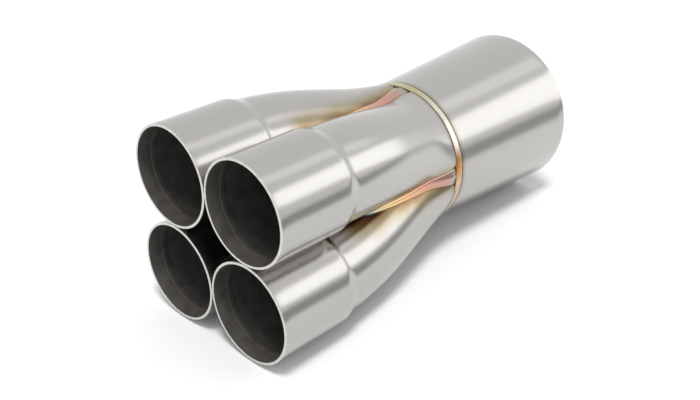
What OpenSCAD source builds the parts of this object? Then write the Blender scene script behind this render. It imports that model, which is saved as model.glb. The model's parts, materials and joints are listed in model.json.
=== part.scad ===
// Four-into-one merge collector: four slip sockets, four bent runners mitred
// together, a diverging outlet cone, and the welds that join them.
// X runs along the collector's axis towards the outlet, Y is to the left as
// seen from the inlets, Z is up. The origin is the middle of the collector.

/* [Inlet sockets] */
// Outer diameter of each slip socket
inlet_od = 50.8; // [49.5:0.1:66]
// Wall thickness of each slip socket
inlet_wall = 1.27; // [0.9:0.01:2]
// Straight depth of each slip socket
socket_depth = 40.5; // [28:0.5:60]
// Clear gap between neighbouring sockets
socket_gap = 0.2; // [0.1:0.1:3]
// Length of the swaged shoulder's cone, the end of which is buried in the bend
shoulder_length = 10.5; // [8:0.5:14]

/* [Runners] */
// Outer diameter of each runner tube behind its shoulder
runner_od = 47.6; // [38:0.1:49]
// Wall thickness of each runner tube
runner_wall = 1.27; // [0.9:0.01:2]
// Distance from where the bend begins to where its straight runs would cross
bend_setback = 27; // [20:0.5:34]
// How far inside the socket the bend begins
bend_lead = 8.5; // [4:0.5:11]
// Distance from the inlet mouths to the throat
runner_length = 135; // [112:1:170]

/* [Outlet cone] */
// Outer diameter at the throat, where the runners meet the cone
throat_od = 77.8; // [64:0.1:93.5]
// Outer diameter of the outlet
outlet_od = 88.9; // [72:0.1:115]
// Length of the cone from the throat to the outlet
cone_length = 90; // [60:1:130]
// Wall thickness of the cone
cone_wall = 1.5; // [1:0.05:2.5]

/* [Welds and fillers] */
// Depth of filler in the four outer valleys
valley_fill = 1.9; // [1.2:0.1:2.6]
// Depth of filler in the four inner seams
seam_fill = 1.3; // [0.8:0.1:2]
// Thickness of the plates that close the valleys at the throat
plate_thickness = 2; // [1.2:0.1:3]
// How far the runners' outer walls sit inside the throat's rim
runner_inset = 0.3; // [0.2:0.1:0.4]
// How far the plates' rims sit inside the throat's rim
plate_inset = 0.7; // [0.5:0.1:1.2]
// Width of the bead around the throat
bead_width = 5.6; // [4:0.1:7]
// Height of the throat bead above the cone
bead_height = 0.4; // [0.2:0.1:1.2]
// How far the bead's inlet-side toe sits below the throat's rim
bead_drop = 1.3; // [0.8:0.1:2]
// Radius of the weld that closes the four-way point
point_weld_radius = 3.5; // [2.5:0.1:5]

/* [Hidden] */
$fn = 240;

// Overall stations along X, measured from the inlet mouths
overall_length = runner_length + cone_length;
mouth_x = -overall_length / 2;
// A small overrun that keeps cutting tools clear of the faces they cut
over = 1;
// Larger than any cross-section, for the blocks that trim the runners
reach = inlet_od * 2;
// Facets round a bend's own circle, fine enough to keep its mitre line true
bend_facets = 720;
// Depth of the throat bead's root below its inlet-side toe
bead_root = 0.6;

// Radii
inlet_r = inlet_od / 2;
bore_r = inlet_r - inlet_wall;
runner_r = runner_od / 2;
flow_r = runner_r - runner_wall;
throat_r = throat_od / 2;
outlet_r = outlet_od / 2;

// Each socket's centre stands this far from the axis, along its diagonal
socket_offset = (inlet_od + socket_gap) / sqrt(2);

// The merge angle that brings each runner's outer wall just inside the rim:
// run * sin(angle) + rise * cos(angle) = runner_r
bend_x = socket_depth - bend_lead;
run = runner_length - bend_x - bend_setback;
rise = throat_r - runner_inset - socket_offset;
merge_angle = atan2(run, rise) - acos(runner_r / norm([run, rise]));

// The bend that fits that angle, and where it ends: along X and off the axis
bend_radius = bend_setback / tan(merge_angle / 2);
bend_drop = bend_radius * (1 - cos(merge_angle));
bend_end_x = bend_x + bend_radius * sin(merge_angle);
bend_end_offset = socket_offset - bend_drop;

// How far below the tube's surface the shoulder's cone ends, so that it is
// buried in the bend all the way round
shoulder_sink = 0.3 + bend_radius
    - sqrt(pow(bend_radius, 2) - pow(bend_lead + shoulder_length, 2));

// Length of straight tube that passes the throat with some to spare
tail_length = (runner_length - bend_end_x) / cos(merge_angle) + runner_od;

// Clocking of the parts about X: runners on the diagonals, seams between them
upper_left = -45;
upper_right = 45;
lower_right = 135;
lower_left = -135;
top = 0;
right = 90;
bottom = 180;
left = -90;

// The runner's centreline u millimetres past the bend's start, measured along
// the tube: [x, distance from the axis, slope]
bend_length = bend_radius * merge_angle * PI / 180;
function centreline(u) =
    u < bend_length
        ? let (a = merge_angle * u / bend_length)
            [bend_x + bend_radius * sin(a), socket_offset - bend_radius * (1 - cos(a)), a]
        : let (t = u - bend_length)
            [bend_end_x + t * cos(merge_angle), bend_end_offset - t * sin(merge_angle), merge_angle];

// How far along the tube the centreline has dropped by d towards the axis
function drop_station(d) =
    d < bend_drop
        ? bend_length * acos(1 - d / bend_radius) / merge_angle
        : bend_length + (d - bend_drop) / sin(merge_angle);

// Where a runner's surface crosses the mitre plane in the section at u:
// [x, height]. side is 1 on the outer side and -1 on the middle gap's side.
function mitre_point(u, side) =
    let (c = centreline(u))
    let (k = 1 + pow(cos(c[2]), 2))
    let (root = pow(c[1] * cos(c[2]), 2) - k * (pow(c[1], 2) - pow(runner_r, 2)))
    let (e = (-c[1] * cos(c[2]) + side * sqrt(max(0, root))) / k)
    [c[0] + e * sin(c[2]), sqrt(2) * (c[1] + e * cos(c[2]))];

// Where neighbouring runners first touch: in the bend, at the slope with this
// cosine, or in the straight run if the bend has ended before that slope
axis_rise = bend_radius - socket_offset;
touch_cos = (bend_radius * axis_rise
    + runner_r * sqrt(pow(bend_radius, 2) + pow(axis_rise, 2) - pow(runner_r, 2)))
    / (pow(bend_radius, 2) - pow(runner_r, 2));
touch_u = touch_cos > cos(merge_angle)
    ? bend_length * acos(touch_cos) / merge_angle
    : drop_station(socket_offset - runner_r * norm([1, cos(merge_angle)]));

// The mitre line from that first touch to past the throat, with stations close
// together where it turns sharply
mitre_steps = 20;
end_u = bend_length + tail_length;
stations = [for (i = [0:mitre_steps])
    touch_u + (end_u - touch_u) * pow(i / mitre_steps, 1.8)];
function mitre_line(side) = [for (u = stations) mitre_point(u, side)];

// The line half way between the outer and inner mitre lines, which runs inside
// the metal that neighbouring runners share
middle_line = (mitre_line(1) + mitre_line(-1)) / 2;

function reversed(line) = [for (i = [len(line) - 1:-1:0]) line[i]];

// Past the slot where the runners only just touch, which the valley weld fills
slot_length = 2;
seam_start_x = centreline(touch_u)[0] + slot_length;

// Where the runners' inner walls meet, on the axis
merge_point_x = centreline(drop_station(socket_offset - runner_r / cos(merge_angle)))[0];

// A shape drawn in [x, height] is raised into the X-Z plane, centred on Y
module in_side_plane(width) {
    rotate([90, 0, 0])
        linear_extrude(height = width, center = true)
            children();
}

// A profile drawn as [radius, x] is spun about the X axis
module about_axis() {
    rotate([0, 90, 0])
        rotate_extrude()
            children();
}

// Puts one runner's parts on its own diagonal, with its outer side up
module on_diagonal(clock) {
    rotate([clock, 0, 0])
        translate([0, 0, socket_offset])
            children();
}

// A straight round bar along X from the origin
module straight_bar(r, length) {
    rotate([0, 90, 0])
        cylinder(r = r, h = length);
}

// A socket and its shoulder at the radii r1 and r2, from start to where the
// shoulder has sunk into the bend
module socket_and_shoulder(r1, r2, start) {
    about_axis()
        polygon([
            [0, start],
            [r1, start],
            [r1, socket_depth],
            [r2 - shoulder_sink, socket_depth + shoulder_length],
            [0, socket_depth + shoulder_length]
        ]);
}

// The solid of one runner's bend and tail at the given radius. Both are drawn
// from the plane where they meet, then leaned to the merge angle.
module bent_bar(r) {
    translate([bend_end_x, 0, bend_end_offset - socket_offset])
        rotate([0, merge_angle, 0]) {
            translate([0, 0, -bend_radius])
                rotate([90, -90, 0])
                    rotate_extrude(angle = merge_angle, $fn = bend_facets)
                        translate([bend_radius, 0])
                            circle(r = r);
            straight_bar(r, tail_length);
        }
}

// One runner as a full bar, untrimmed, for cutting whatever fits against it
module runner_bar(clock) {
    on_diagonal(clock)
        bent_bar(runner_r);
}

module all_runner_bars() {
    for (clock = [upper_left, upper_right, lower_right, lower_left])
        runner_bar(clock);
}

// One runner, socket, shoulder and bend in one tube, mitred to its quarter
module runner(clock) {
    color("silver")
        translate([mouth_x, 0, 0])
            intersection() {
                on_diagonal(clock)
                    difference() {
                        union() {
                            socket_and_shoulder(inlet_r, runner_r, 0);
                            bent_bar(runner_r);
                        }
                        socket_and_shoulder(bore_r, flow_r, -over);
                        bent_bar(flow_r);
                    }
                rotate([clock + 45, 0, 0])
                    translate([-over, 0, 0])
                        cube([runner_length + over, reach, reach]);
            }
}

// The diverging outlet, from the throat to its plain cut end
module outlet_cone() {
    color("silver")
        translate([mouth_x + runner_length, 0, 0])
            about_axis()
                polygon([
                    [throat_r - cone_wall, 0],
                    [throat_r, 0],
                    [outlet_r, cone_length],
                    [outlet_r - cone_wall, cone_length]
                ]);
}

// The disc that the valley filler plates are cut from, a little inside the
// throat's rim so that the throat bead wraps round its corner
module plate_disc() {
    translate([runner_length - plate_thickness, 0, 0])
        straight_bar(throat_r - plate_inset, plate_thickness);
}

// The arched band over the joint of the throat, before anything is cut from it
module throat_band() {
    toe_in = runner_length - bead_width * 0.6;
    toe_out = toe_in + bead_width;
    cone_slope = (outlet_r - throat_r) / cone_length;
    inner_toe_r = throat_r - bead_drop;
    outer_toe_r = throat_r + cone_slope * (toe_out - runner_length);
    crown_height = throat_r + bead_height - (inner_toe_r + outer_toe_r) / 2;
    crown = [for (a = [0:15:180]) [
        inner_toe_r + (outer_toe_r - inner_toe_r) * (1 - cos(a)) / 2 + crown_height * sin(a),
        toe_in + bead_width * (1 - cos(a)) / 2
    ]];
    about_axis()
        polygon(concat(crown, [
            [inner_toe_r - bead_root, toe_out],
            [inner_toe_r - bead_root, toe_in]
        ]));
}

// The weld bead around the throat: the band, cut away where it meets the
// runners, the filler plates and the cone
module throat_weld() {
    color("tan")
        translate([mouth_x, 0, 0])
            difference() {
                throat_band();
                all_runner_bars();
                plate_disc();
                translate([runner_length, 0, 0])
                    rotate([0, 90, 0])
                        cylinder(r1 = throat_r, r2 = outlet_r, h = cone_length);
            }
}

// One valley's closing plate at the throat, between two runners and the rim
module filler_plate(clock) {
    color("gray")
        translate([mouth_x, 0, 0])
            difference() {
                intersection() {
                    plate_disc();
                    rotate([clock, 0, 0])
                        translate([0, -throat_r / 2, 0])
                            cube([runner_length, throat_r, throat_r]);
                }
                all_runner_bars();
            }
}

// The filler laid along one outer valley, from where the runners first touch
// to the closing plate, and cut away under the throat's band if it reaches it
module valley_weld(clock) {
    color("rosybrown")
        translate([mouth_x, 0, 0])
            difference() {
                rotate([clock, 0, 0])
                    intersection() {
                        in_side_plane(runner_r)
                            polygon(concat(
                                [for (p = mitre_line(1)) p + [0, valley_fill]],
                                reversed(middle_line)
                            ));
                        translate([0, -runner_r, 0])
                            cube([runner_length - plate_thickness, runner_od, reach]);
                    }
                all_runner_bars();
                throat_band();
            }
}

// The ball of weld that closes the point where all four runners meet
module point_ball() {
    translate([merge_point_x - point_weld_radius / 2, 0, 0])
        sphere(r = point_weld_radius);
}

// The filler laid along one inner seam, from where the runners first touch to
// the four-way point
module inner_seam(clock) {
    color("dimgray")
        translate([mouth_x, 0, 0])
            difference() {
                rotate([clock, 0, 0])
                    intersection() {
                        in_side_plane(runner_r / 2)
                            polygon(concat(
                                [for (p = mitre_line(-1)) p - [0, seam_fill]],
                                reversed(middle_line)
                            ));
                        translate([seam_start_x, -runner_r, 0])
                            cube([merge_point_x - seam_start_x, runner_od, reach]);
                    }
                all_runner_bars();
                point_ball();
            }
}

// The weld that closes the four-way point, seen only down the middle gap
module merge_point_weld() {
    color("dimgray")
        translate([mouth_x, 0, 0])
            difference() {
                point_ball();
                all_runner_bars();
            }
}

runner(upper_left);  // runner_upper_left
runner(upper_right);  // runner_upper_right
runner(lower_right);  // runner_lower_right
runner(lower_left);  // runner_lower_left
outlet_cone();
throat_weld();
valley_weld(top);  // valley_weld_top
valley_weld(right);  // valley_weld_right
valley_weld(bottom);  // valley_weld_bottom
valley_weld(left);  // valley_weld_left
filler_plate(top);  // filler_plate_top
filler_plate(right);  // filler_plate_right
filler_plate(bottom);  // filler_plate_bottom
filler_plate(left);  // filler_plate_left
inner_seam(top);  // inner_seam_top
inner_seam(right);  // inner_seam_right
inner_seam(bottom);  // inner_seam_bottom
inner_seam(left);  // inner_seam_left
merge_point_weld();
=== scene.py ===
"""The finished look of a four-into-one merge collector in brushed stainless steel.

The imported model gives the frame. Every piece here is placed from the frame's own
boxes, in metres: X runs towards the outlet, Y to the left as seen from the inlets
and Z up. Each sub-assembly is a class that builds its meshes and dresses them.
"""

import json
import logging
import math
from dataclasses import dataclass, field
from enum import Enum
from typing import Any, Callable

import bpy
from mathutils import Matrix, Vector

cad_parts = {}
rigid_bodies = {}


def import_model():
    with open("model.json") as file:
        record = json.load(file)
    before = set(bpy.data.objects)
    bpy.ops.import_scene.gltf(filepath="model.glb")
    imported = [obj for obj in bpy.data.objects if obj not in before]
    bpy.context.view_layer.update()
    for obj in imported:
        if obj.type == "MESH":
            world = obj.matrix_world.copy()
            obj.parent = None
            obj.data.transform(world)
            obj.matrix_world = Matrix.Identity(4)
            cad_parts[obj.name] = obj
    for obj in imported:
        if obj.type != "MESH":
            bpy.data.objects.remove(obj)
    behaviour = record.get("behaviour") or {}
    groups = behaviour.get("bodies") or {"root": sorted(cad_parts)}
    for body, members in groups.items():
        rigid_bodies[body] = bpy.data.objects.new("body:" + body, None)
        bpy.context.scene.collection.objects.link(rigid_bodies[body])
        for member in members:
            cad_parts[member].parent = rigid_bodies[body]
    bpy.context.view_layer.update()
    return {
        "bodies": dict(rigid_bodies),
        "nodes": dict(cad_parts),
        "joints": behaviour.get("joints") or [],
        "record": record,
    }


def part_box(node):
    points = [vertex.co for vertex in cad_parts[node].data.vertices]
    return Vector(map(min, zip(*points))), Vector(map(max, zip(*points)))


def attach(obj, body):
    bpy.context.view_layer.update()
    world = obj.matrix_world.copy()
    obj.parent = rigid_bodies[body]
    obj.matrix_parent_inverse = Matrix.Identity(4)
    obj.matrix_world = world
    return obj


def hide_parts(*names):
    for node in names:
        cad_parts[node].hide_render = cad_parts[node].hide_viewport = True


LOG = logging.getLogger("collector")
MM = 0.001
BODY = "root"
AXIS = Vector((1.0, 0.0, 0.0))
# The angles in degrees past which an edge shows as sharp.
TUBE_CREASE = 35
BEAD_CREASE = 60
# Points closer than this are one point.
MERGE_WITHIN = 0.002 * MM
# The share of a rounded end that shows as freshly cut metal.
CUT_SHARE = 0.8


class Quarter(Enum):
    """Where each runner sits, as its turn about X from straight up, in degrees."""

    upper_left = -45
    upper_right = 45
    lower_right = 135
    lower_left = -135


class Side(Enum):
    """Where each valley sits, as its turn about X from straight up, in degrees."""

    top = 0
    right = 90
    bottom = 180
    left = -90


class Slot(Enum):
    """The record's material slots, one for each kind of modelled piece."""

    runner = "runner_steel"
    cone = "cone_steel"
    throat = "throat_bead"
    valley = "valley_bead"
    filler = "filler_steel"


# --------------------------------------------------------------------- sizes


def smooth(t: float) -> float:
    """Returns the smooth step of t, from 0 at 0 to 1 at 1."""
    t = min(1.0, max(0.0, t))
    return t * t * (3 - 2 * t)


def mix(a: float, b: float, t: float) -> float:
    """Returns the value a share t of the way from a to b."""
    return a + (b - a) * t


def spaced(start: float, end: float, step: float) -> list[float]:
    """Lists evenly spaced values from start to end, both included.

    Args:
        start: The first value.
        end: The last value.
        step: The largest gap allowed between neighbours.

    Returns:
        The values in order.
    """
    count = max(1, math.ceil(abs(end - start) / step))
    return [mix(start, end, i / count) for i in range(count + 1)]


@dataclass(frozen=True)
class Layout:
    """The collector's sizes in metres, and the runner's centreline that they give.

    Stations along a runner are measured from the inlet mouths towards the outlet.
    """

    mouth_x: float
    throat_x: float
    outlet_x: float
    outlet_radius: float
    spread: float
    socket_radius: float
    tube_radius: float = 23.8 * MM
    tube_wall: float = 1.27 * MM
    cone_wall: float = 1.5 * MM
    throat_radius: float = 38.9 * MM
    runner_inset: float = 0.3 * MM
    socket_depth: float = 40.5 * MM
    shoulder_length: float = 6.5 * MM
    bend_start: float = 32 * MM
    bend_setback: float = 27 * MM
    weld_back: float = 0.5 * MM
    swell_length: float = 28 * MM
    swell_from: float = 14 * MM
    valley_dip: float = 2.6 * MM
    dip_from: float = 32.0

    @classmethod
    def from_frame(cls, socket_radius: float = 25.4 * MM) -> "Layout":
        """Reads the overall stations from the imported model's boxes.

        Args:
            socket_radius: The sockets' outer radius.

        Returns:
            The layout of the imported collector.
        """
        runner_low, runner_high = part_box("runner_upper_left")
        cone_low, cone_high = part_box("outlet_cone")
        return cls(
            mouth_x=runner_low.x,
            throat_x=cone_low.x,
            outlet_x=cone_high.x,
            outlet_radius=cone_high.z,
            spread=(runner_high.z - socket_radius) * math.sqrt(2),
            socket_radius=socket_radius,
        )

    @property
    def runner_length(self) -> float:
        """Distance from the mouths to the throat."""
        return self.throat_x - self.mouth_x

    @property
    def weld_x(self) -> float:
        """Where the throat weld's middle lies along the axis."""
        return self.throat_x - self.weld_back

    @property
    def merge_angle(self) -> float:
        """Works out how far the runners lean in.

        Returns:
            The lean that brings a runner's outer wall just inside the throat's rim,
            in radians.
        """
        run = self.runner_length - self.bend_start - self.bend_setback
        rise = self.throat_radius - self.runner_inset - self.spread
        return math.atan2(run, rise) - math.acos(self.tube_radius / math.hypot(run, rise))

    @property
    def bend_radius(self) -> float:
        """Radius of the bend's centreline."""
        return self.bend_setback / math.tan(self.merge_angle / 2)

    @property
    def bend_end(self) -> float:
        """Station where the bend ends."""
        return self.bend_start + self.bend_radius * math.sin(self.merge_angle)

    def centreline(self, station: float) -> tuple[float, float]:
        """Gives the tube's distance from the axis and its lean at a station.

        Args:
            station: Distance from the mouths.

        Returns:
            The centre's distance from the axis, and the lean in radians.
        """
        if station <= self.bend_start:
            return self.spread, 0.0
        if station <= self.bend_end:
            lean = math.asin((station - self.bend_start) / self.bend_radius)
            return self.spread - self.bend_radius * (1 - math.cos(lean)), lean
        angle = self.merge_angle
        end = self.spread - self.bend_radius * (1 - math.cos(angle))
        return end - (station - self.bend_end) * math.tan(angle), angle

    def wall_radius(self, station: float, turn: float) -> float | None:
        """Distance from the collector's axis to a runner's outer wall.

        Args:
            station: Distance from the mouths.
            turn: Angle about the axis from the runner's own direction, in radians.

        Returns:
            The distance, or None where the runner isn't met at that angle.
        """
        offset, lean = self.centreline(station)
        across, along = self.tube_radius, self.tube_radius / math.cos(lean)
        a = math.cos(turn) ** 2 / along**2 + math.sin(turn) ** 2 / across**2
        b = offset * math.cos(turn) / along**2
        inside = b**2 - a * (offset**2 / along**2 - 1)
        return None if inside < 0 else (b + math.sqrt(inside)) / a

    def valley_height(self, station: float) -> float | None:
        """Distance from the axis to a valley's bottom, or None before the runners touch."""
        return self.wall_radius(station, math.pi / 4)

    def valley_half_width(self, station: float, fill: float) -> float:
        """Works out how wide a filled valley is, by halving the angle between bounds.

        Args:
            station: Distance from the mouths.
            fill: The filling's depth above the valley's bottom.

        Returns:
            Half the width of the filling's surface.
        """
        height = (self.valley_height(station) or 0.0) + fill
        low, high = 0.0, math.radians(44)
        for _ in range(30):
            middle = (low + high) / 2
            wall = self.wall_radius(station, math.pi / 4 - middle) or 0.0
            low, high = (middle, high) if wall * math.cos(middle) < height else (low, middle)
        return height * math.tan(low)

    def swell(self, point: Vector) -> float:
        """Tells how far the runners' ends bulge out to meet the round throat.

        Args:
            point: A point of a runner or of a weld on it.

        Returns:
            The move away from the axis at that point.
        """
        station = min(point.x - self.mouth_x, self.runner_length)
        full = smooth((station - self.runner_length + self.swell_length) / self.swell_length) ** 2
        distance = math.hypot(point.y, point.z)
        if full == 0.0 or distance < self.swell_from:
            return 0.0
        turn = math.atan2(abs(point.y), abs(point.z)) - math.pi / 4
        wall, crest = self.wall_radius(station, turn), self.wall_radius(station, 0.0)
        if wall is None or crest is None:
            return 0.0
        dip_over = math.radians(45 - self.dip_from)
        valley = smooth((abs(turn) - math.radians(self.dip_from)) / dip_over)
        bulge = max(0.0, crest - self.valley_dip * valley - wall)
        outside = smooth((distance - self.swell_from) / (wall - self.tube_wall - self.swell_from))
        return bulge * full * outside

    def first_touch(self) -> float:
        """Finds where neighbouring runners first touch, by halving the gap.

        Returns:
            The station.
        """
        low, high = self.bend_start, self.runner_length
        for _ in range(40):
            middle = (low + high) / 2
            if self.valley_height(middle) is None:
                low = middle
            else:
                high = middle
        return high


# ------------------------------------------------------------------ modelling


@dataclass(frozen=True)
class Ring:
    """One ring of a swept shape: its centre, lean and half sizes in metres.

    wide is the half size across (along Y) and tall the half size upwards.
    """

    x: float
    z: float
    lean: float
    wide: float
    tall: float


def edit(mesh_select: str = "SELECT") -> None:
    """Enters edit mode with everything selected or nothing."""
    bpy.ops.object.mode_set(mode="EDIT")
    bpy.ops.mesh.select_all(action=mesh_select)


def leave_edit() -> None:
    """Goes back to object mode."""
    bpy.ops.object.mode_set(mode="OBJECT")


def only(obj: bpy.types.Object) -> None:
    """Selects one object and makes it active.

    Args:
        obj: The object.
    """
    bpy.ops.object.select_all(action="DESELECT")
    obj.select_set(True)
    bpy.context.view_layer.objects.active = obj


def lean_by(angle: float, axis: str, centre: tuple[float, float, float]) -> None:
    """Turns what is selected by the right-hand rule; with no window the operator's sign flips."""
    bpy.ops.transform.rotate(value=-angle, orient_axis=axis, center_override=centre)


def sweep(name: str, rings: list[Ring], segments: int) -> bpy.types.Object:
    """Draws a circle and extrudes it from ring to ring.

    Args:
        name: The new object's name.
        rings: The rings in order; each is centred on the plane y = 0.
        segments: How many sides each ring has.

    Returns:
        The new object, in object mode, still open at both ends.
    """
    first = rings[0]
    bpy.ops.object.select_all(action="DESELECT")
    bpy.ops.mesh.primitive_circle_add(
        vertices=segments,
        radius=1,
        location=(first.x, 0, first.z),
        rotation=(0, math.pi / 2, 0),
    )
    obj = bpy.context.object
    obj.name = name
    bpy.ops.object.transform_apply(location=True, rotation=True, scale=True)
    edit()
    bpy.ops.transform.resize(
        value=(1, first.wide, first.tall), center_override=(first.x, 0, first.z)
    )
    lean_by(first.lean, "Y", (first.x, 0, first.z))
    for before, ring in zip(rings, rings[1:]):
        step = (ring.x - before.x, 0, ring.z - before.z)
        centre = (ring.x, 0, ring.z)
        bpy.ops.mesh.extrude_region_move(TRANSFORM_OT_translate={"value": step})
        if abs(ring.lean - before.lean) > 1e-7:
            lean_by(ring.lean - before.lean, "Y", centre)
        grow = (ring.tall / before.tall, ring.wide / before.wide, ring.tall / before.tall)
        if max(abs(g - 1) for g in grow) > 1e-7:
            bpy.ops.transform.resize(value=grow, center_override=centre)
    leave_edit()
    return obj


def cap_ends(obj: bpy.types.Object) -> None:
    """Closes a swept shape's two open ends.

    Args:
        obj: The shape, in object mode.
    """
    only(obj)
    edit("DESELECT")
    bpy.ops.mesh.select_mode(type="EDGE")
    bpy.ops.mesh.select_non_manifold()
    bpy.ops.mesh.edge_face_add()
    leave_edit()


def face_outwards(obj: bpy.types.Object) -> None:
    """Merges doubled points and points every face outwards.

    Args:
        obj: The piece, in object mode.
    """
    only(obj)
    edit()
    bpy.ops.mesh.remove_doubles(threshold=MERGE_WITHIN)
    bpy.ops.mesh.normals_make_consistent(inside=False)
    leave_edit()


def shade(obj: bpy.types.Object, crease_degrees: float = TUBE_CREASE) -> None:
    """Shades smoothly except where faces meet at more than the given angle."""
    only(obj)
    bpy.ops.object.shade_smooth_by_angle(angle=math.radians(crease_degrees))


def copy_turned(master: bpy.types.Object, name: str, degrees: float) -> bpy.types.Object:
    """Copies a piece with its own mesh, turned about the collector's axis.

    Args:
        master: The piece to copy.
        name: The copy's name.
        degrees: The turn about X, with positive turning up towards the right.

    Returns:
        The copy, with the turn in its mesh.
    """
    twin = master.copy()
    twin.data = master.data.copy()
    twin.name = name
    bpy.context.scene.collection.objects.link(twin)
    twin.data.transform(Matrix.Rotation(math.radians(degrees), 4, "X"))
    return twin


def cut(obj: bpy.types.Object, point: Vector, keep: Vector) -> None:
    """Cuts a closed shape by a plane, closes it and keeps one side.

    Args:
        obj: The piece to cut.
        point: A point on the plane.
        keep: The plane's normal, on the side that is kept.
    """
    only(obj)
    edit()
    bpy.ops.mesh.bisect(
        plane_co=point, plane_no=keep, use_fill=True, clear_inner=True, threshold=1e-7
    )
    leave_edit()


def pick_faces(obj: bpy.types.Object, wanted: Callable[[Vector], bool]) -> None:
    """Selects the faces whose centres pass a test.

    Args:
        obj: The piece, in object mode.
        wanted: The test on a face's centre.
    """
    mesh = obj.data
    mesh.vertices.foreach_set("select", [False] * len(mesh.vertices))
    mesh.edges.foreach_set("select", [False] * len(mesh.edges))
    for face in mesh.polygons:
        face.select = wanted(face.center)


def swell_out(obj: bpy.types.Object, layout: Layout) -> None:
    """Bulges a piece's end out to the round throat.

    Args:
        obj: The piece, in its place.
        layout: The collector's sizes, which say how far each point moves.
    """
    for vertex in obj.data.vertices:
        out = Vector((0, vertex.co.y, vertex.co.z))
        if out.length > 0:
            vertex.co += out.normalized() * layout.swell(vertex.co)


def dress(obj: bpy.types.Object, *materials: bpy.types.Material) -> None:
    """Gives a piece its finishes, in place of any that it has.

    Args:
        obj: The piece.
        materials: The finishes, in the order of the piece's material slots.
    """
    obj.data.materials.clear()
    for material in materials:
        obj.data.materials.append(material)


def paint_faces(obj: bpy.types.Object, choose: Callable[[Vector], int]) -> None:
    """Gives each face the material slot number that its centre asks for."""
    for face in obj.data.polygons:
        face.material_index = choose(face.center)


def place(obj: bpy.types.Object, slot: Slot, nodes: list[str]) -> None:
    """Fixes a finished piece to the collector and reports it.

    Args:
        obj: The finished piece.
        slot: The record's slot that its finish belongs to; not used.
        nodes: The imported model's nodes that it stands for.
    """
    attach(obj, BODY)
    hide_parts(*nodes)
    LOG.info("%s: %d faces", obj.name, len(obj.data.polygons))


# ------------------------------------------------------------------- finishes


def colour(code: str) -> tuple[float, float, float, float]:
    """Turns an sRGB colour into a linear one.

    Args:
        code: The colour as a hex code, such as #ffffff.

    Returns:
        Red, green, blue and alpha.
    """
    parts = [int(code[i : i + 2], 16) / 255 for i in (1, 3, 5)]
    linear = [p / 12.92 if p <= 0.04045 else ((p + 0.055) / 1.055) ** 2.4 for p in parts]
    return (*linear, 1.0)


def add(tree: bpy.types.NodeTree, kind: str, inputs: dict[Any, Any], **settings: Any) -> Any:
    """Adds a shader node with its settings and links.

    Args:
        tree: The material's node tree.
        kind: The node type, such as ShaderNodeMath.
        inputs: Sockets by name or number; a value is set, and an output or a node's
            first live output is linked.
        settings: Properties of the node; ramp is a row of (place, hex colour) pairs.

    Returns:
        The new node.
    """
    made = tree.nodes.new(kind)
    ramp = settings.pop("ramp", ())
    for name, value in settings.items():
        setattr(made, name, value)
    for _ in ramp[2:]:
        made.color_ramp.elements.new(0.5)
    for i, (where, code) in enumerate(ramp):
        made.color_ramp.elements[i].position = where
        made.color_ramp.elements[i].color = colour(code)
    for key, value in inputs.items():
        if isinstance(value, bpy.types.Node):
            value = next(socket for socket in value.outputs if socket.enabled)
        if isinstance(value, bpy.types.NodeSocket):
            tree.links.new(value, made.inputs[key])
        else:
            made.inputs[key].default_value = value
    return made


def beside_throat_weld(tree: bpy.types.NodeTree, layout: Layout) -> bpy.types.Node:
    """Measures how far a point lies from the throat weld's middle, along the axis.

    Args:
        tree: The material's node tree.
        layout: The collector's sizes.

    Returns:
        The node that gives the distance.
    """
    place_in = add(tree, "ShaderNodeTexCoord", {}).outputs["Object"]
    axes = add(tree, "ShaderNodeSeparateXYZ", {"Vector": place_in}).outputs
    past = add(tree, "ShaderNodeMath", {0: axes["X"], 1: layout.weld_x}, operation="SUBTRACT")
    return add(tree, "ShaderNodeMath", {0: past}, operation="ABSOLUTE")


@dataclass(frozen=True)
class Finish:
    """How one real surface looks."""

    name: str

    def build(self, layout: Layout) -> bpy.types.Material:
        """Makes the finish's material.

        Args:
            layout: The collector's sizes, which the weld colours follow.

        Returns:
            The material.
        """
        material = bpy.data.materials.new(self.name)
        material.use_nodes = True
        tree = material.node_tree
        tree.nodes.clear()
        shader = add(tree, "ShaderNodeBsdfPrincipled", self.surface(tree, layout))
        add(tree, "ShaderNodeOutputMaterial", {"Surface": shader})
        return material

    def surface(self, tree: bpy.types.NodeTree, layout: Layout) -> dict[str, Any]:
        """Adds the nodes that come before the shader.

        Args:
            tree: The material's node tree.
            layout: The collector's sizes.

        Returns:
            The shader's inputs, each a value or a node.
        """
        raise NotImplementedError


# Oxide colours on stainless steel, from beside a weld outwards: violet-brown,
# brown, gold, straw and then clean metal.
OXIDE = (
    (0.0, "#8a7480"),
    (0.10, "#a98c74"),
    (0.24, "#cdb088"),
    (0.48, "#e8dcbc"),
    (0.80, "#f8f5ee"),
    (1.0, "#ffffff"),
)

# Beside the throat weld: painted shade, a dark line at the weld's toe where the crevice beside the
# bead lies in shade, and then a trace of straw oxide.
PAINTED_TOE_SHADE_AND_STRAW = ((0.0, "#7d7066"), (0.06, "#a39683"), (0.14, "#e4dccb"), (0.6, "#ffffff"))


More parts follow.
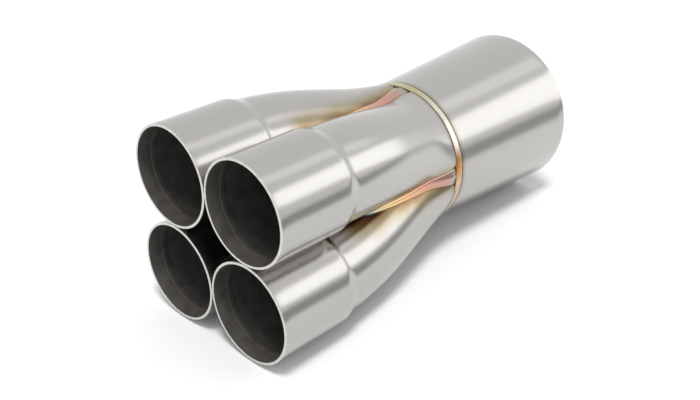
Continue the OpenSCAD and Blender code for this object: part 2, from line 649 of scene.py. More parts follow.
@dataclass(frozen=True)
class BrushedStainless(Finish):
    """304 stainless tube, brushed round its circumference: soft, wide highlights.

    The brush lines run round the tube and are drawn 0.5 mm apart, coarser than real
    grit leaves them, so that they show. Heat from the welds leaves oxide colours, and a
    thin line of painted shade lies beside the throat weld's toe.
    """

    steel: str = "#b7b5b2"
    line_shades: tuple[float, float] = (0.96, 1.02)
    roughness: tuple[float, float] = (0.195, 0.23)
    line_spacing: float = 0.5 * MM
    line_length: float = 14 * MM
    bump: float = 0.006 * MM
    bump_strength: float = 0.35
    cloud_size: float = 22 * MM
    wander: float = 9 * MM
    oxide_reach: float = 10 * MM
    oxide_before: float = 9 * MM
    oxide_after: float = 3 * MM
    # Where the painted toe shade and then the straw oxide lie, measured from the throat weld's
    # middle.
    toe_shade_from: float = 2.4 * MM
    toe_shade_to: float = 7.4 * MM

    def surface(self, tree: bpy.types.NodeTree, layout: Layout) -> dict[str, Any]:
        """Adds the brush lines, then oxide by the mitre planes, and painted toe shade with straw
        oxide by the throat.

        Args:
            tree: The material's node tree.
            layout: The collector's sizes.

        Returns:
            The shader's inputs.
        """
        place_in = add(tree, "ShaderNodeTexCoord", {}).outputs["Object"]
        scale = (1 / self.line_spacing, 1 / self.line_length, 1 / self.line_length)
        lines_at = add(tree, "ShaderNodeMapping", {"Vector": place_in, "Scale": scale})
        noise = {"Vector": lines_at, "Scale": 1.0, "Detail": 3.0, "Roughness": 0.6}
        lines = add(tree, "ShaderNodeTexNoise", noise)
        low, high = self.line_shades
        grain = add(tree, "ShaderNodeMapRange", {"Value": lines, "To Min": low, "To Max": high})
        mixing = {"data_type": "RGBA", "blend_type": "MULTIPLY"}
        steel = add(tree, "ShaderNodeMix", {0: 1.0, 6: colour(self.steel), 7: grain}, **mixing)
        heat, strength = self._valley_heat(tree, place_in, layout)
        base = add(tree, "ShaderNodeMix", {0: strength, 6: steel, 7: heat}, **mixing)
        # Painted shade at the throat weld's toe, then a trace of straw oxide.
        toe_shade = self._throat_toe_shade_and_straw(tree, layout)
        base = add(tree, "ShaderNodeMix", {0: 1.0, 6: base, 7: toe_shade}, **mixing)
        low, high = self.roughness
        inputs = {"Value": lines, "From Min": 0.3, "From Max": 0.7, "To Min": low, "To Max": high}
        rough = add(tree, "ShaderNodeMapRange", inputs)
        inputs = {"Height": lines, "Distance": self.bump, "Strength": self.bump_strength}
        bump = add(tree, "ShaderNodeBump", inputs)
        return {"Base Color": base, "Metallic": 1.0, "Roughness": rough, "Normal": bump}

    def _valley_heat(
        self, tree: bpy.types.NodeTree, place_in: Any, layout: Layout
    ) -> tuple[bpy.types.Node, bpy.types.Node]:
        """Works out the oxide beside the valley welds, whose edge wanders.

        Args:
            tree: The material's node tree.
            place_in: The point's coordinates.
            layout: The collector's sizes.

        Returns:
            The oxide's colour, and how much of it shows.
        """
        cloud = {"Vector": place_in, "Scale": 1 / self.cloud_size, "Detail": 2.0}
        clouds = add(tree, "ShaderNodeTexNoise", cloud)
        axes = add(tree, "ShaderNodeSeparateXYZ", {"Vector": place_in}).outputs
        shift = {0: clouds, 1: self.wander, 2: -self.wander / 2}
        wander = add(tree, "ShaderNodeMath", shift, operation="MULTIPLY_ADD")
        beside_y = add(tree, "ShaderNodeMath", {0: axes["Y"]}, operation="ABSOLUTE")
        beside_z = add(tree, "ShaderNodeMath", {0: axes["Z"]}, operation="ABSOLUTE")
        across = add(tree, "ShaderNodeMath", {0: beside_y, 1: beside_z}, operation="MINIMUM")
        away = add(tree, "ShaderNodeMath", {0: across, 1: wander}, operation="ADD")
        share = add(tree, "ShaderNodeMapRange", {"Value": away, "From Max": self.oxide_reach})
        heat = add(tree, "ShaderNodeValToRGB", {"Fac": share}, ramp=OXIDE)
        touch = layout.mouth_x + layout.first_touch()
        along = add(tree, "ShaderNodeMath", {0: axes["X"], 1: wander}, operation="ADD")
        low, high = touch - self.oxide_before, touch + self.oxide_after
        inputs = {"Value": along, "From Min": low, "From Max": high}
        begun = add(tree, "ShaderNodeMapRange", inputs, interpolation_type="SMOOTHSTEP")
        end = layout.throat_x
        inputs = {"Value": axes["X"], "From Min": end + 1 * MM, "From Max": end}
        before = add(tree, "ShaderNodeMapRange", inputs, interpolation_type="SMOOTHSTEP")
        strength = add(tree, "ShaderNodeMath", {0: begun, 1: before}, operation="MULTIPLY")
        return heat, strength

    def _throat_toe_shade_and_straw(self, tree: bpy.types.NodeTree, layout: Layout) -> bpy.types.Node:
        """Works out the narrow painted shade at the weld's toe and the straw oxide tint on both
        sides of the throat weld.

        Args:
            tree: The material's node tree.
            layout: The collector's sizes.

        Returns:
            The colour of the painted toe shade and the straw tint.
        """
        gap = beside_throat_weld(tree, layout)
        inputs = {"Value": gap, "From Min": self.toe_shade_from, "From Max": self.toe_shade_to}
        share = add(tree, "ShaderNodeMapRange", inputs)
        return add(tree, "ShaderNodeValToRGB", {"Fac": share}, ramp=PAINTED_TOE_SHADE_AND_STRAW)


@dataclass(frozen=True)
class PlainMetal(Finish):
    """A metal surface of one colour with uneven patches: bores, cut ends, plates."""

    tone: str
    other: str
    roughness: float
    patch: float = 3 * MM
    bump: float = 0.03 * MM
    bump_strength: float = 0.3
    metal: float = 1.0

    def surface(self, tree: bpy.types.NodeTree, layout: Layout) -> dict[str, Any]:
        """Mixes the two tones in patches.

        Args:
            tree: The material's node tree.
            layout: Not needed, since the patches are the same everywhere.

        Returns:
            The shader's inputs.
        """
        place_in = add(tree, "ShaderNodeTexCoord", {}).outputs["Object"]
        inputs = {"Vector": place_in, "Scale": 1 / self.patch, "Detail": 4.0}
        patches = add(tree, "ShaderNodeTexNoise", inputs)
        ramp = ((0.35, self.tone), (0.65, self.other))
        base = add(tree, "ShaderNodeValToRGB", {"Fac": patches}, ramp=ramp)
        low, high = self.roughness - 0.08, self.roughness + 0.08
        rough = add(tree, "ShaderNodeMapRange", {"Value": patches, "To Min": low, "To Max": high})
        inputs = {"Height": patches, "Distance": self.bump, "Strength": self.bump_strength}
        bump = add(tree, "ShaderNodeBump", inputs)
        return {"Base Color": base, "Metallic": self.metal, "Roughness": rough, "Normal": bump}


@dataclass(frozen=True)
class WeldBead(Finish):
    """A bright TIG bead, whose oxide colours run along it and wander a little."""

    ramp: tuple[tuple[float, str], ...]
    roughness: tuple[float, float]
    cloud_size: float
    wander: float

    def surface(self, tree: bpy.types.NodeTree, layout: Layout) -> dict[str, Any]:
        """Colours the bead by each point's share of its run.

        Args:
            tree: The material's node tree.
            layout: The collector's sizes.

        Returns:
            The shader's inputs.
        """
        place_in = add(tree, "ShaderNodeTexCoord", {}).outputs["Object"]
        inputs = {"Vector": place_in, "Scale": 1 / self.cloud_size, "Detail": 3.0}
        clouds = add(tree, "ShaderNodeTexNoise", inputs)
        shift = {0: clouds, 1: self.wander, 2: -self.wander / 2}
        shift = add(tree, "ShaderNodeMath", shift, operation="MULTIPLY_ADD")
        axes = add(tree, "ShaderNodeSeparateXYZ", {"Vector": place_in}).outputs
        run = self.run_of(tree, axes, layout)
        along = add(tree, "ShaderNodeMath", {0: run, 1: shift}, operation="ADD")
        base = add(tree, "ShaderNodeValToRGB", {"Fac": along}, ramp=self.ramp)
        low, high = self.roughness
        rough = add(tree, "ShaderNodeMapRange", {"Value": clouds, "To Min": low, "To Max": high})
        return {"Base Color": base, "Metallic": 1.0, "Roughness": rough}

    def run_of(self, tree: bpy.types.NodeTree, axes: Any, layout: Layout) -> bpy.types.Node:
        """Works out a point's share of the bead's run.

        Args:
            tree: The material's node tree.
            axes: The point's X, Y and Z sockets.
            layout: The collector's sizes.

        Returns:
            The node that gives the share, from 0 to 1.
        """
        raise NotImplementedError


@dataclass(frozen=True)
class ValleyBead(WeldBead):
    """TIG bead laid hot: blue where it starts, then gold, then copper pink."""

    name: str = "tig_bead_gold_to_copper"
    ramp: tuple[tuple[float, str], ...] = (
        (0.0, "#17121c"),
        (0.07, "#232b5e"),
        (0.12, "#3f7fbe"),
        (0.16, "#9cc9d8"),
        (0.20, "#dcdabc"),
        (0.30, "#f2d29c"),
        (0.50, "#e9b98f"),
        (0.70, "#d09a88"),
        (0.86, "#c09c90"),
        (0.95, "#aea498"),
        (1.0, "#8d9a95"),
    )
    roughness: tuple[float, float] = (0.14, 0.32)
    cloud_size: float = 5 * MM
    wander: float = 0.09

    def run_of(self, tree: bpy.types.NodeTree, axes: Any, layout: Layout) -> bpy.types.Node:
        """Runs from the runners' first touch to the throat.

        Args:
            tree: The material's node tree.
            axes: The point's X, Y and Z sockets.
            layout: The collector's sizes.

        Returns:
            The node that gives the share.
        """
        start = layout.mouth_x + layout.first_touch()
        inputs = {"Value": axes["X"], "From Min": start, "From Max": layout.throat_x}
        return add(tree, "ShaderNodeMapRange", inputs)


@dataclass(frozen=True)
class ThroatBead(WeldBead):
    """TIG bead round the throat, whose oxide changes from straw to tan round the ring, with a
    painted highlight on its upper right and painted shade at its toes.
    """

    name: str = "tig_bead_straw_to_tan_with_painted_light"
    # Straw and tan oxide by angle round the ring; the pale stops at 0.64 and 0.69 are a painted
    # highlight on the ring's upper right, where the light falls.
    ramp: tuple[tuple[float, str], ...] = (
        (0.0, "#c2b7a8"),
        (0.25, "#c2baa4"),
        (0.46, "#c6c2ab"),
        (0.52, "#bfb48a"),
        (0.57, "#cbc8b3"),
        (0.64, "#dcd6cc"),
        (0.69, "#e3dbd0"),
        (0.71, "#cf9f72"),
        (0.735, "#c98f5c"),
        (0.77, "#cdb498"),
        (0.82, "#c2b4a4"),
        (1.0, "#c2b7a8"),
    )
    roughness: tuple[float, float] = (0.18, 0.36)
    cloud_size: float = 4 * MM
    wander: float = 0.05
    # Painted shade: a dark colour laid over the bead's two toes, between these distances from its
    # middle.
    toe_shade: str = "#7c6a58"
    toe_shade_from: float = 2.0 * MM
    toe_shade_to: float = 2.5 * MM

    def run_of(self, tree: bpy.types.NodeTree, axes: Any, layout: Layout) -> bpy.types.Node:
        """Runs once round the axis from straight down, by way of the left.

        Args:
            tree: The material's node tree.
            axes: The point's X, Y and Z sockets.
            layout: The collector's sizes.

        Returns:
            The node that gives the share.
        """
        right = add(tree, "ShaderNodeMath", {0: axes["Y"], 1: -1.0}, operation="MULTIPLY")
        angle = add(tree, "ShaderNodeMath", {0: right, 1: axes["Z"]}, operation="ARCTAN2")
        inputs = {"Value": angle, "From Min": -math.pi, "From Max": math.pi}
        return add(tree, "ShaderNodeMapRange", inputs)

    def surface(self, tree: bpy.types.NodeTree, layout: Layout) -> dict[str, Any]:
        """Darkens the bead's two toes with painted shade, for the crevices beside the bead.

        Args:
            tree: The material's node tree.
            layout: The collector's sizes.

        Returns:
            The shader's inputs.
        """
        made = super().surface(tree, layout)
        gap = beside_throat_weld(tree, layout)
        inputs = {"Value": gap, "From Min": self.toe_shade_from, "From Max": self.toe_shade_to}
        edge = add(tree, "ShaderNodeMapRange", inputs, interpolation_type="SMOOTHSTEP")
        # Painted shade at both toes of the bead.
        inputs = {0: edge, 6: made["Base Color"], 7: colour(self.toe_shade)}
        mixing = {"data_type": "RGBA", "blend_type": "MULTIPLY"}
        made["Base Color"] = add(tree, "ShaderNodeMix", inputs, **mixing)
        return made


@dataclass(frozen=True)
class Matt(Finish):
    """A matt, even surface of the studio."""

    tone: str

    def surface(self, tree: bpy.types.NodeTree, layout: Layout) -> dict[str, Any]:
        """Gives the tone, with no nodes before the shader."""
        return {"Base Color": colour(self.tone), "Roughness": 0.9}


@dataclass
class Palette:
    """The collector's finished materials, built once and shared by its pieces."""

    layout: Layout
    tube: bpy.types.Material = field(init=False)
    bore: bpy.types.Material = field(init=False)
    cut_edge: bpy.types.Material = field(init=False)
    valley: bpy.types.Material = field(init=False)
    throat: bpy.types.Material = field(init=False)
    filler: bpy.types.Material = field(init=False)
    inner: bpy.types.Material = field(init=False)

    def __post_init__(self) -> None:
        """Builds each finish."""
        size = self.layout
        self.tube = BrushedStainless("brushed_stainless").build(size)
        # Inside the welded tubes: a dull bore, its colour darkened as painted shade for the dark
        # inside of the tubes.
        scale = PlainMetal("dull_bore_painted_shade", "#484542", "#55524e", 0.5, 6 * MM, metal=0.5)
        self.bore = scale.build(size)
        # Where the saw left the tube's end: bright, with a fine burr.
        self.cut_edge = PlainMetal("cut_tube_end", "#d9d7d3", "#c6c4c0", 0.32, 1 * MM).build(size)
        self.valley = ValleyBead().build(size)
        self.throat = ThroatBead().build(size)
        # Filler fused flat beside a weld: greenish grey oxide.
        self.filler = PlainMetal("oxidised_filler", "#a3aba4", "#8d938c", 0.34, 2 * MM).build(size)
        # Welds deep in the middle gap: dull grey.
        self.inner = PlainMetal("dull_grey_bead", "#6a6660", "#4c4742", 0.45, 2 * MM).build(size)


# --------------------------------------------------------------------- pieces


@dataclass
class Runners:
    """Four tubes, each a slip socket, a swaged shoulder, a bend and a mitred end."""

    layout: Layout
    palette: Palette
    segments: int = 128
    past_throat: float = 8 * MM
    throat_gap: float = 0.05 * MM
    tail_step: float = 2 * MM
    bend_step: float = 2.5 * MM
    shoulder_step: float = 0.6 * MM
    socket_step: float = 5 * MM
    bore_step: float = 6 * MM
    lip: float = 0.28 * MM
    bead_start: float = 7.3 * MM
    bead_end: float = 11.0 * MM
    bead_rise: float = 0.28 * MM
    bead_edge: float = 0.8 * MM
    past_bead: float = 1 * MM
    seam_start: float = 1 * MM
    seam_half_turn: float = 3.0
    seam_rise: float = 0.22 * MM
    seam_slope: float = 0.35 * MM
    seam_clock: dict[Quarter, float] = field(
        default_factory=lambda: {
            Quarter.upper_left: -142.0,
            Quarter.upper_right: -172.0,
            Quarter.lower_right: -165.0,
            Quarter.lower_left: -150.0,
        }
    )

    def build(self) -> None:
        """Models one tube and makes all four from it."""
        master = self._master()
        for quarter in Quarter:
            self._runner(master, quarter)
        bpy.data.objects.remove(master)

    def _ring(self, station: float, inwards: float) -> Ring:
        """Gives the tube's ring at a station.

        Args:
            station: Distance from the mouths.
            inwards: How far inside the tube's outer surface the ring lies.

        Returns:
            The ring, which eases from the socket's axis to the bend over the shoulder.
        """
        size = self.layout
        eased = smooth((station - size.socket_depth) / size.shoulder_length)
        offset, lean = size.centreline(station)
        radius = mix(size.socket_radius, size.tube_radius, eased) - inwards
        centre = mix(size.spread, offset, eased)
        return Ring(size.mouth_x + station, centre, lean * eased, radius, radius)

    def _master(self) -> bpy.types.Object:
        """Models a tube from its far end, out to the mouth and back inside.

        Returns:
            The tube above the axis, cut by the throat and the two mitre planes.
        """
        size = self.layout
        shoulder_end = size.socket_depth + size.shoulder_length
        wall = size.tube_wall
        tail = spaced(size.runner_length + self.past_throat, size.bend_end, self.tail_step)
        bend = spaced(size.bend_end, shoulder_end, self.bend_step)[1:]
        shoulder = spaced(shoulder_end, size.socket_depth, self.shoulder_step)[1:]
        socket = spaced(size.socket_depth, self.lip, self.socket_step)[1:]
        outside = [(s, 0.0) for s in tail + bend + shoulder + socket]
        back = spaced(self.bead_end + self.past_bead, size.socket_depth, self.bore_step)
        back += shoulder[::-1] + bend[::-1] + tail[::-1]
        inside = [(s, wall + rise) for s, rise in self._rolled_bead()] + [(s, wall) for s in back]
        rings = [self._ring(s, depth) for s, depth in outside + self._mouth() + inside]
        tube = sweep("tube_master", rings, self.segments)
        dress(tube, self.palette.tube, self.palette.bore, self.palette.cut_edge)
        paint_faces(tube, self._finish_at)
        cut(tube, Vector((size.throat_x - self.throat_gap, 0, 0)), -AXIS)
        for side in (-1, 1):
            cut(tube, Vector((0, 0, 0)), Vector((0, side, 1)).normalized())
        face_outwards(tube)
        return tube

    def _mouth(self) -> list[tuple[float, float]]:
        """Rounds the mouth's outer edge fully and its inner edge by half as much.

        Returns:
            Stations and depths below the outer surface, from outside to inside.
        """
        lip, small = self.lip, self.lip / 2
        outer = [math.radians(a) for a in (30, 60, 90)]
        inner = [math.radians(a) for a in (0, 45, 90)]
        wall = self.layout.tube_wall
        rounded = [(lip * (1 - math.sin(a)), lip * (1 - math.cos(a))) for a in outer]
        return rounded + [
            (small * (1 - math.cos(a)), wall - small * (1 - math.sin(a))) for a in inner
        ]

    def _rolled_bead(self) -> list[tuple[float, float]]:
        """Shapes the stop bead that is rolled inside each mouth.

        Returns:
            Stations and rises above the bore.
        """
        steps = (0.0, 0.25, 0.75, 1.0)
        up = [(self.bead_start + self.bead_edge * s, self.bead_rise * smooth(s)) for s in steps]
        down = [(self.bead_end - self.bead_edge * s, self.bead_rise * smooth(s)) for s in steps]
        return up + down[::-1]

    def _finish_at(self, centre: Vector) -> int:
        """Chooses the finish of a face.

        Args:
            centre: The face's centre.

        Returns:
            0 for the tube's outside, 1 for its bore and 2 for its cut edge.
        """
        size = self.layout
        station = centre.x - size.mouth_x
        ring = self._ring(max(0.0, station), 0.0)
        lifted = (centre.z - ring.z) / math.cos(ring.lean)
        depth = ring.wide - math.hypot(centre.y, lifted)
        if station < CUT_SHARE * self.lip:
            return 2
        return 1 if depth > size.tube_wall / 2 else 0

    def _runner(self, master: bpy.types.Object, quarter: Quarter) -> None:
        """Makes one runner and raises the tube's own welded seam inside it.

        Args:
            master: The tube to copy.
            quarter: Where the runner sits.
        """
        size = self.layout
        tube = copy_turned(master, f"tube_{quarter.name}", quarter.value)
        swell_out(tube, size)
        turn = math.radians(quarter.value)
        centre_y = -math.sin(turn) * size.spread
        centre_z = math.cos(turn) * size.spread
        clock = math.radians(self.seam_clock[quarter])
        half = math.radians(self.seam_half_turn)

        def on_seam(centre: Vector) -> bool:
            """Tells whether a face lies on the bore along the seam's line.

            Args:
                centre: The face's centre.

            Returns:
                True on the seam.
            """
            y, z = centre.y - centre_y, centre.z - centre_z
            if math.hypot(y, z) > size.socket_radius - size.tube_wall / 2:
                return False
            off = math.atan2(-y, z) - clock
            station = centre.x - size.mouth_x
            near = abs(math.atan2(math.sin(off), math.cos(off))) < half
            return near and self.seam_start < station < size.socket_depth

        only(tube)
        pick_faces(tube, on_seam)
        bpy.ops.object.mode_set(mode="EDIT")
        bpy.ops.mesh.inset(thickness=self.seam_slope, depth=self.seam_rise)
        leave_edit()
        shade(tube)
        place(tube, Slot.runner, [f"runner_{quarter.name}"])


@dataclass
class OutletCone:
    """The diverging outlet, with lightly eased ends."""

    layout: Layout
    palette: Palette
    segments: int = 192
    step: float = 6 * MM
    ease: float = 0.3 * MM

    def build(self) -> None:
        """Models the cone as one closed wall and dresses it."""
        size = self.layout
        cone = sweep("cone_wall", self._rings(), self.segments)
        only(cone)
        edit("DESELECT")
        bpy.ops.mesh.select_mode(type="EDGE")
        bpy.ops.mesh.select_non_manifold()
        bpy.ops.mesh.bridge_edge_loops()
        leave_edit()
        face_outwards(cone)
        dress(cone, self.palette.tube, self.palette.bore, self.palette.cut_edge)
        paint_faces(cone, self._finish_at)
        shade(cone)
        place(cone, Slot.cone, ["outlet_cone"])

    def _radius(self, x: float) -> float:
        """Works out how wide the cone is.

        Args:
            x: The place along the axis.

        Returns:
            The outer radius there.
        """
        size = self.layout
        share = (x - size.throat_x) / (size.outlet_x - size.throat_x)
        return mix(size.throat_radius, size.outlet_radius, share)

    def _rings(self) -> list[Ring]:
        """Lists rings from the throat out to the rim and back inside.

        Returns:
            The rings in order.
        """
        size = self.layout
        rim = size.outlet_x - self.ease
        points = [(x, self._radius(x)) for x in spaced(size.throat_x, rim, self.step)]
        for turn in (math.radians(a) for a in (30, 60, 90)):
            x = rim + self.ease * math.sin(turn)
            points.append((x, self._radius(x) - self.ease * (1 - math.cos(turn))))
        for turn in (math.radians(a) for a in (90, 45, 0)):
            x = rim + self.ease * math.sin(turn)
            points.append((x, self._radius(x) - size.cone_wall + self.ease * (1 - math.cos(turn))))
        inside = spaced(rim, size.throat_x, self.step)[1:]
        points += [(x, self._radius(x) - size.cone_wall) for x in inside]
        return [Ring(x, 0.0, 0.0, r, r) for x, r in points]

    def _finish_at(self, centre: Vector) -> int:
        """Chooses the finish of a face.

        Args:
            centre: The face's centre.

        Returns:
            0 for the cone's outside, 1 for its bore and 2 for its cut edge.
        """
        size = self.layout
        if centre.x > size.outlet_x - CUT_SHARE * self.ease:
            return 2
        depth = self._radius(centre.x) - math.hypot(centre.y, centre.z)
        return 1 if depth > size.cone_wall / 2 else 0


@dataclass
class ThroatWeld:
    """The rippled bead that joins the runners to the cone."""

    layout: Layout
    palette: Palette
    ripples: int = 176
    steps_per_ripple: int = 4
    profile_points: int = 20
    back: float = 0.55 * MM
    half_width: float = 2.6 * MM
    half_height: float = 1.0 * MM
    lean: float = 3.0
    crown: float = 0.5 * MM
    ripple_rise: float = 0.05 * MM

    def build(self) -> None:
        """Spins the bead's section round the throat and raises its ripples."""
        size = self.layout
        middle = Vector((size.throat_x - self.back, 0, size.throat_radius + self.crown))
        middle.z -= self.half_height
        bpy.ops.object.select_all(action="DESELECT")
        bpy.ops.mesh.primitive_circle_add(
            vertices=self.profile_points, radius=1, location=middle, rotation=(math.pi / 2, 0, 0)
        )
        bead = bpy.context.object
        bead.name = "bead_throat"
        bpy.ops.object.transform_apply(location=True, rotation=True, scale=True)
        edit()
        bpy.ops.transform.resize(
            value=(self.half_width, 1, self.half_height), center_override=middle
        )
        lean_by(-math.radians(self.lean), "Y", tuple(middle))
        steps = self.ripples * self.steps_per_ripple
        bpy.ops.mesh.spin(steps=steps, angle=2 * math.pi, center=(0, 0, 0), axis=AXIS)
        leave_edit()
        face_outwards(bead)
        self._raise_ripples(bead, steps, middle.x)
        dress(bead, self.palette.throat)
        shade(bead, BEAD_CREASE)
        place(bead, Slot.throat, ["throat_weld"])

    def _raise_ripples(self, bead: bpy.types.Object, steps: int, middle_x: float) -> None:
        """Swells every ripple's crest, which trails at the bead's edges.

        Args:
            bead: The bead, in object mode.
            steps: How many sections the bead has round the ring.
            middle_x: Where its middle lies along the axis.
        """
        for vertex in bead.data.vertices:
            turn = math.atan2(-vertex.co.y, vertex.co.z) / (2 * math.pi) * steps
            edge = (vertex.co.x - middle_x) / self.half_width
            trail = round(turn + 2 * edge * edge)
            vertex.select = trail % self.steps_per_ripple == 0
        only(bead)
        bead.data.edges.foreach_set("select", [False] * len(bead.data.edges))
        bead.data.polygons.foreach_set("select", [False] * len(bead.data.polygons))
        bpy.context.tool_settings.mesh_select_mode = (True, False, False)
        bpy.ops.object.mode_set(mode="EDIT")
        bpy.ops.transform.shrink_fatten(value=self.ripple_rise)
        leave_edit()


@dataclass
class ValleyFilling:
    """A filling that is modelled in the top valley and laid in all four."""

    layout: Layout
    palette: Palette
    profile_points: int = 24

    def lay(
        self, rings: list[Ring], metal: bpy.types.Material, slot: Slot, name: str, node: str
    ) -> None:
        """Sweeps the top filling and turns a copy of it into each valley.

        Args:
            rings: The top filling's rings.
            metal: Its finish.
            slot: The record's slot for that finish.
            name: What the pieces are called, before their sides.
            node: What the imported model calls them.
        """
        master = sweep("filling_master", rings, self.profile_points)
        cap_ends(master)
        face_outwards(master)
        dress(master, metal)
        for side in Side:
            piece = copy_turned(master, f"{name}_{side.name}", side.value)
            swell_out(piece, self.layout)
            shade(piece, BEAD_CREASE)
            place(piece, slot, [f"{node}_{side.name}"])
        bpy.data.objects.remove(master)


@dataclass
class ValleyWelds(ValleyFilling):
    """Four rippled beads, each laid in the valley between two runners."""

    fill: float = 1.5 * MM
    overlap: float = 0.5 * MM
    start_gap: float = 0.3 * MM
    end_gap: float = 3.0 * MM
    crown: float = 0.75 * MM
    start_crown: float = 0.6 * MM
    opening_length: float = 14 * MM
    nose_length: float = 1.6 * MM
    pitch: float = 0.42 * MM
    ripple_every: int = 3
    ripple_rise: float = 0.07 * MM

    def build(self) -> None:
        """Lays the four beads."""
        metal = self.palette.valley
        self.lay(self._rings(), metal, Slot.valley, "bead_valley", "valley_weld")

    def _rings(self) -> list[Ring]:
        """Shapes the bead from the first touch to the closing plate.

        Returns:
            Its rings, of which every third stands proud as a ripple.
        """
        size = self.layout
        start = size.first_touch() + self.start_gap
        end = size.runner_length - self.end_gap
        rings = []
        for i, station in enumerate(spaced(start, end, self.pitch)):
            height = (size.valley_height(station) or 0.0) + self.fill
            opening = smooth((station - start) / self.opening_length)
            half = size.valley_half_width(station, self.fill) + self.overlap
            crown = mix(self.start_crown, self.crown, opening)
            if i % self.ripple_every == 0:
                crown += self.ripple_rise
                half += self.ripple_rise
            nose = math.sqrt(min(1.0, (station - start + 0.1 * MM) / self.nose_length))
            rings.append(Ring(size.mouth_x + station, height, 0.0, half * nose, crown * nose))
        return rings


@dataclass
class ClosingPlates(ValleyFilling):
    """Four small plates that close the valleys' ends against the throat."""

    length: float = 3.2 * MM
    end_gap: float = 0.2 * MM
    step: float = 0.4 * MM
    fill: float = 1.6 * MM
    overlap: float = 0.6 * MM
    crown: float = 0.9 * MM

    def build(self) -> None:
        """Lays the four plates."""
        metal = self.palette.filler
        self.lay(self._rings(), metal, Slot.filler, "plate", "filler_plate")

    def _rings(self) -> list[Ring]:
        """Shapes the plate over the valley's last stretch.

        Returns:
            Its rings.
        """
        size = self.layout
        start, end = size.runner_length - self.length, size.runner_length - self.end_gap
        rings = []
        for station in spaced(start, end, self.step):
            height = (size.valley_height(station) or 0.0) + self.fill
            half = size.valley_half_width(station, self.fill) + self.overlap
            rings.append(Ring(size.mouth_x + station, height, 0.0, half, self.crown))
        return rings


@dataclass
class FrameDetails:
    """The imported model's own nodes that stay in sight, with their finishes."""

    frame: dict[str, Any]
    palette: Palette

    def build(self) -> None:
        """Dresses the inner seams and the four-way point's weld."""
        for node in [f"inner_seam_{side.name}" for side in Side] + ["merge_point_weld"]:
            dress(self.frame["nodes"][node], self.palette.inner)
            LOG.info("%s: dressed in %s", node, self.palette.inner.name)


# --------------------------------------------------------------------- studio


@dataclass(frozen=True)
class SoftBox:
    """One rectangular studio light: its place, sides and brightness, and if metal shows it."""

    name: str
    place: tuple[float, float, float]
    sides: tuple[float, float]
    brightness: float
    glossy: bool = True

    def build(self) -> None:
        """Adds the light, aimed at the collector, with its long side along X."""
        light = bpy.data.lights.new(self.name, "AREA")
        light.shape = "RECTANGLE"
        light.size, light.size_y = self.sides
        light.energy = self.brightness * math.pi * self.sides[0] * self.sides[1]
        lamp = bpy.data.objects.new(self.name, light)
        away = Vector(self.place).normalized()
        level = (AXIS - away * AXIS.dot(away)).normalized()
        turn = Matrix((level, away.cross(level), away)).transposed()
        lamp.matrix_world = Matrix.Translation(self.place) @ turn.to_4x4()
        lamp.visible_camera = False
        lamp.visible_glossy = self.glossy
        bpy.context.scene.collection.objects.link(lamp)


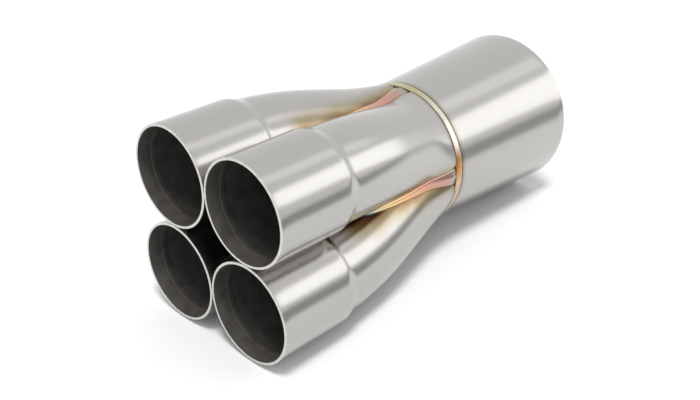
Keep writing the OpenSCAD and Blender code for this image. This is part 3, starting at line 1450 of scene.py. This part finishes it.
@dataclass
class Studio:
    """A pale floor, soft light all round, softboxes, a dark card and the camera."""

    layout: Layout
    sky: str = "#fdfdfd"
    sky_strength: float = 1.0
    floor_tone: str = "#cecece"
    card_tone: str = "#aeaeae"
    camera_place: tuple[float, float, float] = (-0.32835, -0.29558, 0.21563)
    camera_towards: tuple[float, float, float] = (0.6371, 0.6098, -0.4713)
    lens: float = 47.7
    overhead_strength: float = 2.75
    overhead_spread: float = 14.0
    overhead_tilt: float = 14.0
    floor_half: float = 12.0
    card_y: float = -0.22
    card_start: float = -0.1
    card_length: float = 1.3
    card_top: float = 0.022
    boxes: tuple[SoftBox, ...] = (
        SoftBox("softbox_right", (0.60, -0.575, 0.365), (1.0, 0.40), 1.1),
        SoftBox("softbox_front", (-0.55, -0.30, 0.30), (0.5, 0.5), 0.5, glossy=False),
        SoftBox("softbox_above", (0.50, -0.24, 0.78), (0.9, 0.22), 0.38),
    )

    def build(self) -> None:
        """Builds the set round the collector."""
        self._floor()
        self._card()
        for box in self.boxes:
            box.build()
        self._overhead()
        self._sky()
        self._camera()
        bpy.context.scene.view_settings.view_transform = "Standard"

    def _floor(self) -> None:
        """Lays the floor, on which the sockets' rear edges and the outlet's rim rest."""
        size = self.layout
        rest_x = size.mouth_x + size.socket_depth
        rest_z = -(size.spread / math.sqrt(2) + size.socket_radius)
        slope = (rest_z + size.outlet_radius) / (rest_x - size.outlet_x)
        bpy.ops.object.select_all(action="DESELECT")
        bpy.ops.mesh.primitive_grid_add(
            x_subdivisions=2,
            y_subdivisions=2,
            size=2 * self.floor_half,
            location=(rest_x, 0, rest_z),
            rotation=(0, -math.atan(slope), 0),
        )
        floor = bpy.context.object
        floor.name = "studio_floor"
        bpy.ops.object.transform_apply(location=True, rotation=True, scale=True)
        dress(floor, Matt("pale_paper_floor", self.floor_tone).build(size))

    def _card(self) -> None:
        """Stands a dark card beside the set that only the metal's reflections see."""
        low = -self.layout.outlet_radius
        height = self.card_top - low
        bpy.ops.object.select_all(action="DESELECT")
        bpy.ops.mesh.primitive_plane_add(
            size=1,
            location=(self.card_start + self.card_length / 2, self.card_y, low + height / 2),
            rotation=(math.pi / 2, 0, 0),
        )
        card = bpy.context.object
        card.name = "studio_dark_card"
        card.scale = (self.card_length, height, 1)
        bpy.ops.object.transform_apply(location=True, rotation=True, scale=True)
        dress(card, Matt("grey_card", self.card_tone).build(self.layout))
        for ray in ("camera", "diffuse", "shadow", "transmission", "volume_scatter"):
            setattr(card, f"visible_{ray}", False)

    def _overhead(self) -> None:
        """Lights the floor from above and in front, which leaves a short soft shadow."""
        light = bpy.data.lights.new("overhead", "SUN")
        light.energy = self.overhead_strength
        light.angle = math.radians(self.overhead_spread)
        lamp = bpy.data.objects.new("overhead", light)
        lamp.visible_glossy = False
        tilt = math.radians(self.overhead_tilt)
        lamp.rotation_euler = (tilt, -tilt, 0)
        bpy.context.scene.collection.objects.link(lamp)

    def _sky(self) -> None:
        """Sets the even light from all round."""
        world = bpy.data.worlds.new("studio_light")
        world.use_nodes = True
        back = world.node_tree.nodes["Background"]
        back.inputs["Color"].default_value = colour(self.sky)
        back.inputs["Strength"].default_value = self.sky_strength
        bpy.context.scene.world = world

    def _camera(self) -> None:
        """Stands the camera."""
        lens = bpy.data.cameras.new("camera")
        lens.sensor_width = 36.0
        lens.lens = self.lens
        lens.clip_start = 0.01
        camera = bpy.data.objects.new("camera", lens)
        camera.location = self.camera_place
        aim = Vector(self.camera_towards).to_track_quat("-Z", "Y")
        camera.rotation_mode = "QUATERNION"
        camera.rotation_quaternion = aim
        bpy.context.scene.collection.objects.link(camera)
        bpy.context.scene.camera = camera


def main() -> None:
    """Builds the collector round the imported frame, then the studio."""
    logging.basicConfig(level=logging.INFO, format="%(name)s %(message)s")
    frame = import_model()
    layout = Layout.from_frame()
    palette = Palette(layout)
    Runners(layout, palette).build()
    OutletCone(layout, palette).build()
    ThroatWeld(layout, palette).build()
    ValleyWelds(layout, palette).build()
    ClosingPlates(layout, palette).build()
    FrameDetails(frame, palette).build()
    Studio(layout).build()


if __name__ == "__main__":
    main()
